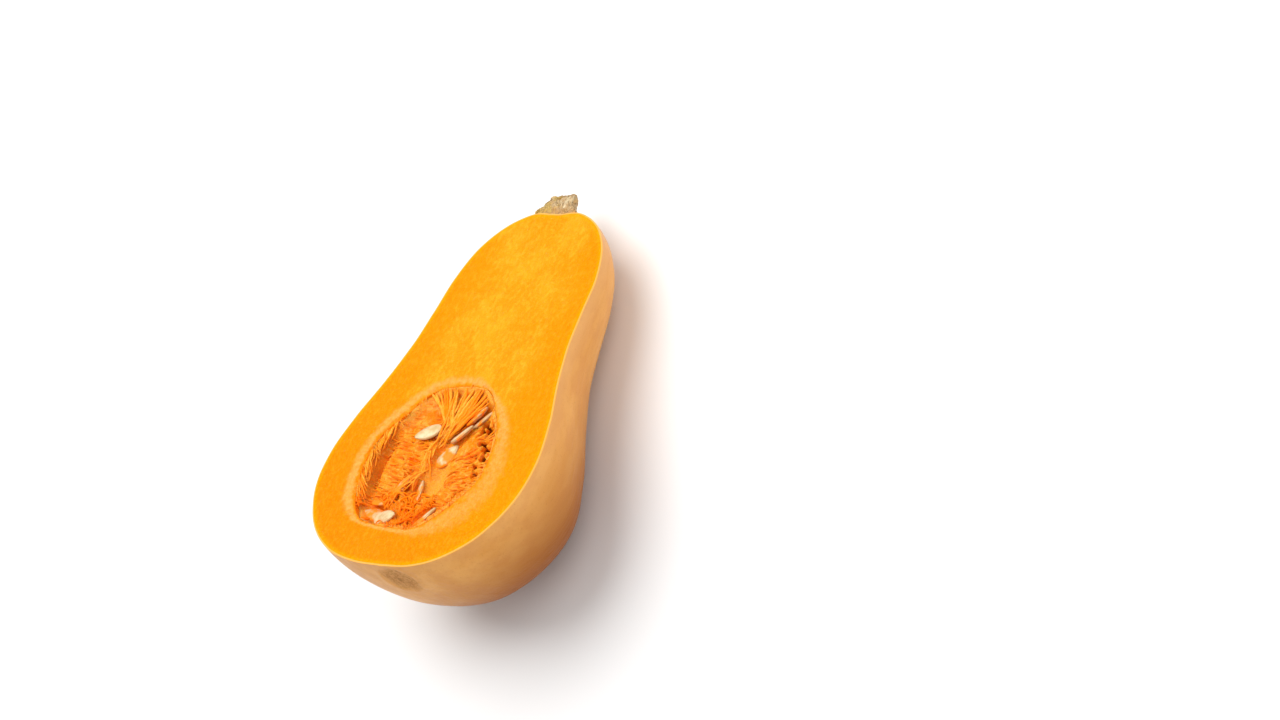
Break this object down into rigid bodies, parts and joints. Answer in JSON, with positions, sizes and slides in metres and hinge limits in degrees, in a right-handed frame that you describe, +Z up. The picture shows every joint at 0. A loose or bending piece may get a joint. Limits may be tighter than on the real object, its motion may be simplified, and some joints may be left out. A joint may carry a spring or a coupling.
{
  "type": "butternut squash half",
  "caption": "Half of a butternut squash cut lengthwise, lying on its back, with open seed cavity, stringy pulp, seeds and a stub of stem.",
  "frame": {"origin": "middle of the object's outline on the surface it lies on", "axes": "+Z up, +Y along the fruit towards the stem, +X across the cut face; the cut face looks up and leans towards the stem by 18.5 degrees"},
  "size_m": [0.1578, 0.2482, 0.1092],
  "materials": {
    "flesh": "moist cut flesh, satin",
    "rind": "thin tan skin, satin",
    "stem_cork": "dry and corky",
    "pulp": "moist, stringy",
    "seed_coat": "smooth, slightly wet"
  },
  "bodies": {
    "root": {"squash_half": "flesh", "stem": "stem_cork", "pulp": "pulp", "seed_01": "seed_coat", "seed_02": "seed_coat", "seed_03": "seed_coat", "seed_04": "seed_coat", "seed_05": "seed_coat", "seed_06": "seed_coat", "seed_07": "seed_coat", "seed_08": "seed_coat", "seed_09": "seed_coat", "seed_10": "seed_coat", "seed_11": "seed_coat", "seed_12": "seed_coat", "seed_13": "seed_coat"}
  },
  "joints": []
}
